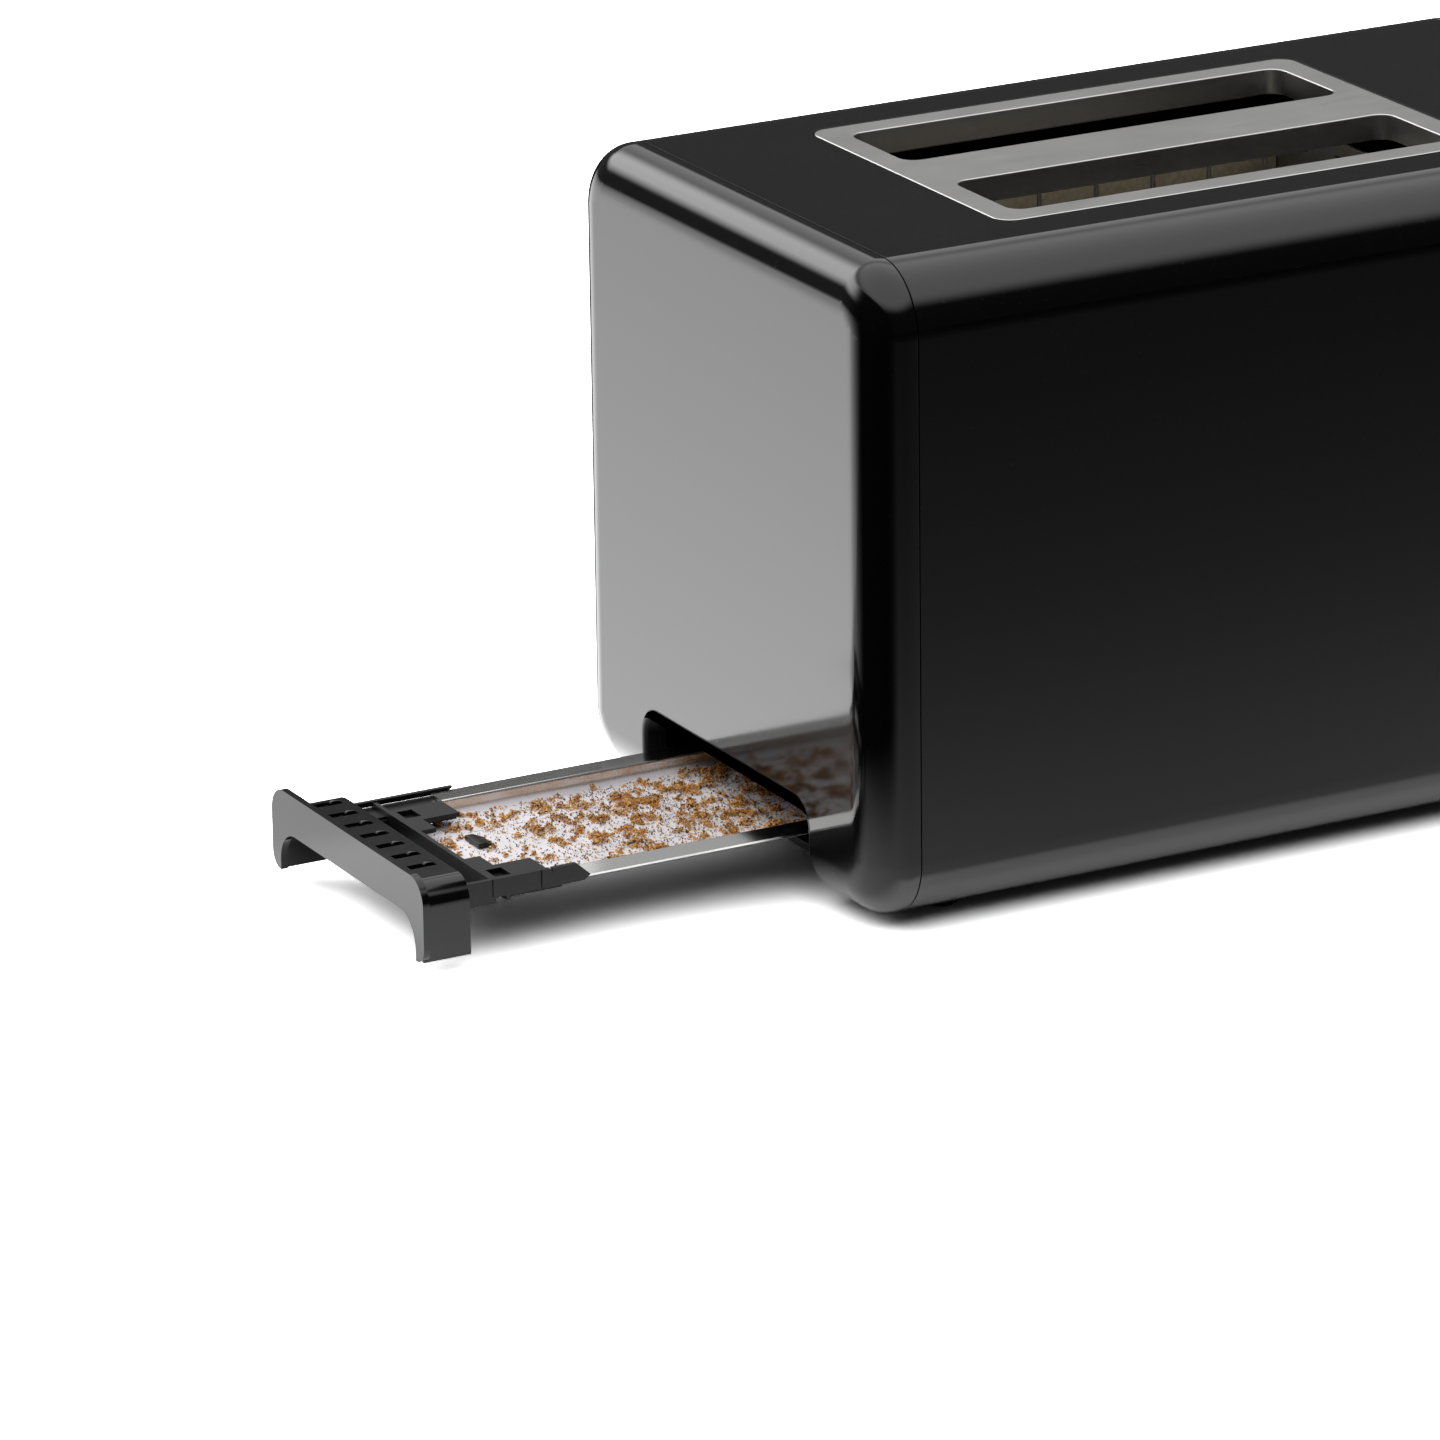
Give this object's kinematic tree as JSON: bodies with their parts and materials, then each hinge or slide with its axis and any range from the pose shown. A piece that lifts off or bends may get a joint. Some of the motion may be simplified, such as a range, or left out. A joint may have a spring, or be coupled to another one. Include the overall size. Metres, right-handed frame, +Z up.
{
  "type": "pop up toaster",
  "caption": "Pop-up toaster with a rounded gloss black body, bread slots on top, a lever and dial at one end, and a steel crumb tray that slides out of the other.",
  "frame": {"origin": "on the worktop, under the middle of the whole object with its crumb tray out as stored", "axes": "+X along the body from the crumb tray's handle to the lever end, +Y across the body towards the rear slot, +Z up"},
  "size_m": [0.4546, 0.184, 0.2],
  "materials": {
    "gloss_black_plastic": "moulded gloss black",
    "satin_black_plastic": "moulded satin black",
    "bright_steel": "bright rolled stainless steel",
    "guard_steel": "plated wire",
    "zinc_sheet": "zinc coated sheet",
    "mica_board": "pressed mica sheet",
    "heating_ribbon": "oxidised resistance alloy",
    "spring_steel": "bright drawn steel",
    "black_rubber": "moulded rubber",
    "dark_plastic": "heat resistant moulding",
    "circuit_laminate": "green solder resist",
    "copper_winding": "enamelled copper wire"
  },
  "bodies": {
    "housing": {"end_cap_tray": "gloss_black_plastic", "end_cap_control": "gloss_black_plastic", "outer_sleeve": "gloss_black_plastic", "slot_bezel": "bright_steel", "base_plate": "satin_black_plastic", "foot_1": "black_rubber", "foot_2": "black_rubber", "foot_3": "black_rubber", "foot_4": "black_rubber", "base_screw_1": "spring_steel", "base_screw_2": "spring_steel", "base_screw_3": "spring_steel", "base_screw_4": "spring_steel", "tray_rail_front": "dark_plastic", "tray_rail_rear": "dark_plastic", "end_frame_tray": "zinc_sheet", "end_frame_control": "zinc_sheet", "heat_shield_front": "zinc_sheet", "heat_shield_rear": "zinc_sheet", "heater_board_1": "mica_board", "heater_board_2": "mica_board", "heater_board_3": "mica_board", "heater_board_4": "mica_board", "heater_ribbon_1": "heating_ribbon", "heater_ribbon_2": "heating_ribbon", "heater_ribbon_3": "heating_ribbon", "heater_ribbon_4": "heating_ribbon", "guide_rod": "spring_steel", "rod_holder": "zinc_sheet", "return_spring": "spring_steel", "magnet_core": "spring_steel", "magnet_coil": "copper_winding", "circuit_board": "circuit_laminate", "browning_regulator": "zinc_sheet", "defrost_switch": "dark_plastic", "reheat_switch": "dark_plastic", "stop_switch": "dark_plastic", "cord_grommet": "black_rubber"},
    "crumb_tray": {"tray_handle": "gloss_black_plastic", "tray_bracket": "satin_black_plastic", "crumb_pan": "bright_steel", "pan_tooth": "satin_black_plastic"},
    "carriage": {"carriage_plate": "zinc_sheet", "carriage_bush": "dark_plastic", "bread_lift_front": "guard_steel", "bread_lift_rear": "guard_steel", "lever_arm": "zinc_sheet", "lever_knob": "gloss_black_plastic", "magnet_armature": "spring_steel"},
    "guard_1": {"bread_guard_1": "guard_steel"},
    "guard_2": {"bread_guard_2": "guard_steel"},
    "guard_3": {"bread_guard_3": "guard_steel"},
    "guard_4": {"bread_guard_4": "guard_steel"},
    "dial": {"browning_dial": "satin_black_plastic", "dial_shaft": "spring_steel"},
    "defrost": {"defrost_button": "satin_black_plastic"},
    "reheat": {"reheat_button": "satin_black_plastic"},
    "stop": {"stop_button": "satin_black_plastic"}
  },
  "joints": [
    {"name": "tray_slide", "type": "slide", "parent": "housing", "child": "crumb_tray", "axis": [-1, 0, 0], "range_m": [-0.1247, 0.05]},
    {"name": "lift_slide", "type": "slide", "parent": "housing", "child": "carriage", "axis": [0, 0, 1], "range_m": [-0.078, 0.012], "stiffness_N_per_m": 60, "springref_m": 0.01663, "deforming": ["return_spring"]},
    {"name": "guard_1_close", "type": "slide", "parent": "housing", "child": "guard_1", "axis": [0, 1, 0], "range_m": [-0.0012, 0.0071]},
    {"name": "guard_2_close", "type": "slide", "parent": "housing", "child": "guard_2", "axis": [0, -1, 0], "range_m": [-0.0012, 0.0071]},
    {"name": "guard_3_close", "type": "slide", "parent": "housing", "child": "guard_3", "axis": [0, 1, 0], "range_m": [-0.0012, 0.0071]},
    {"name": "guard_4_close", "type": "slide", "parent": "housing", "child": "guard_4", "axis": [0, -1, 0], "range_m": [-0.0012, 0.0071]},
    {"name": "dial_turn", "type": "hinge", "parent": "housing", "child": "dial", "pos_m": [0.20735, 0.04, 0.054], "axis": [1, 0, 0], "range_deg": [-135, 135]},
    {"name": "defrost_push", "type": "slide", "parent": "housing", "child": "defrost", "axis": [-1, 0, 0], "range_m": [0, 0.0015], "stiffness_N_per_m": 800, "springref_m": -0.001},
    {"name": "reheat_push", "type": "slide", "parent": "housing", "child": "reheat", "axis": [-1, 0, 0], "range_m": [0, 0.0015], "stiffness_N_per_m": 800, "springref_m": -0.001},
    {"name": "stop_push", "type": "slide", "parent": "housing", "child": "stop", "axis": [-1, 0, 0], "range_m": [0, 0.0015], "stiffness_N_per_m": 800, "springref_m": -0.001}
  ],
  "couplings": [
    {"joint": "guard_1_close", "follows": "lift_slide", "ratio": -0.089744},
    {"joint": "guard_2_close", "follows": "lift_slide", "ratio": -0.089744},
    {"joint": "guard_3_close", "follows": "lift_slide", "ratio": -0.089744},
    {"joint": "guard_4_close", "follows": "lift_slide", "ratio": -0.089744}
  ]
}
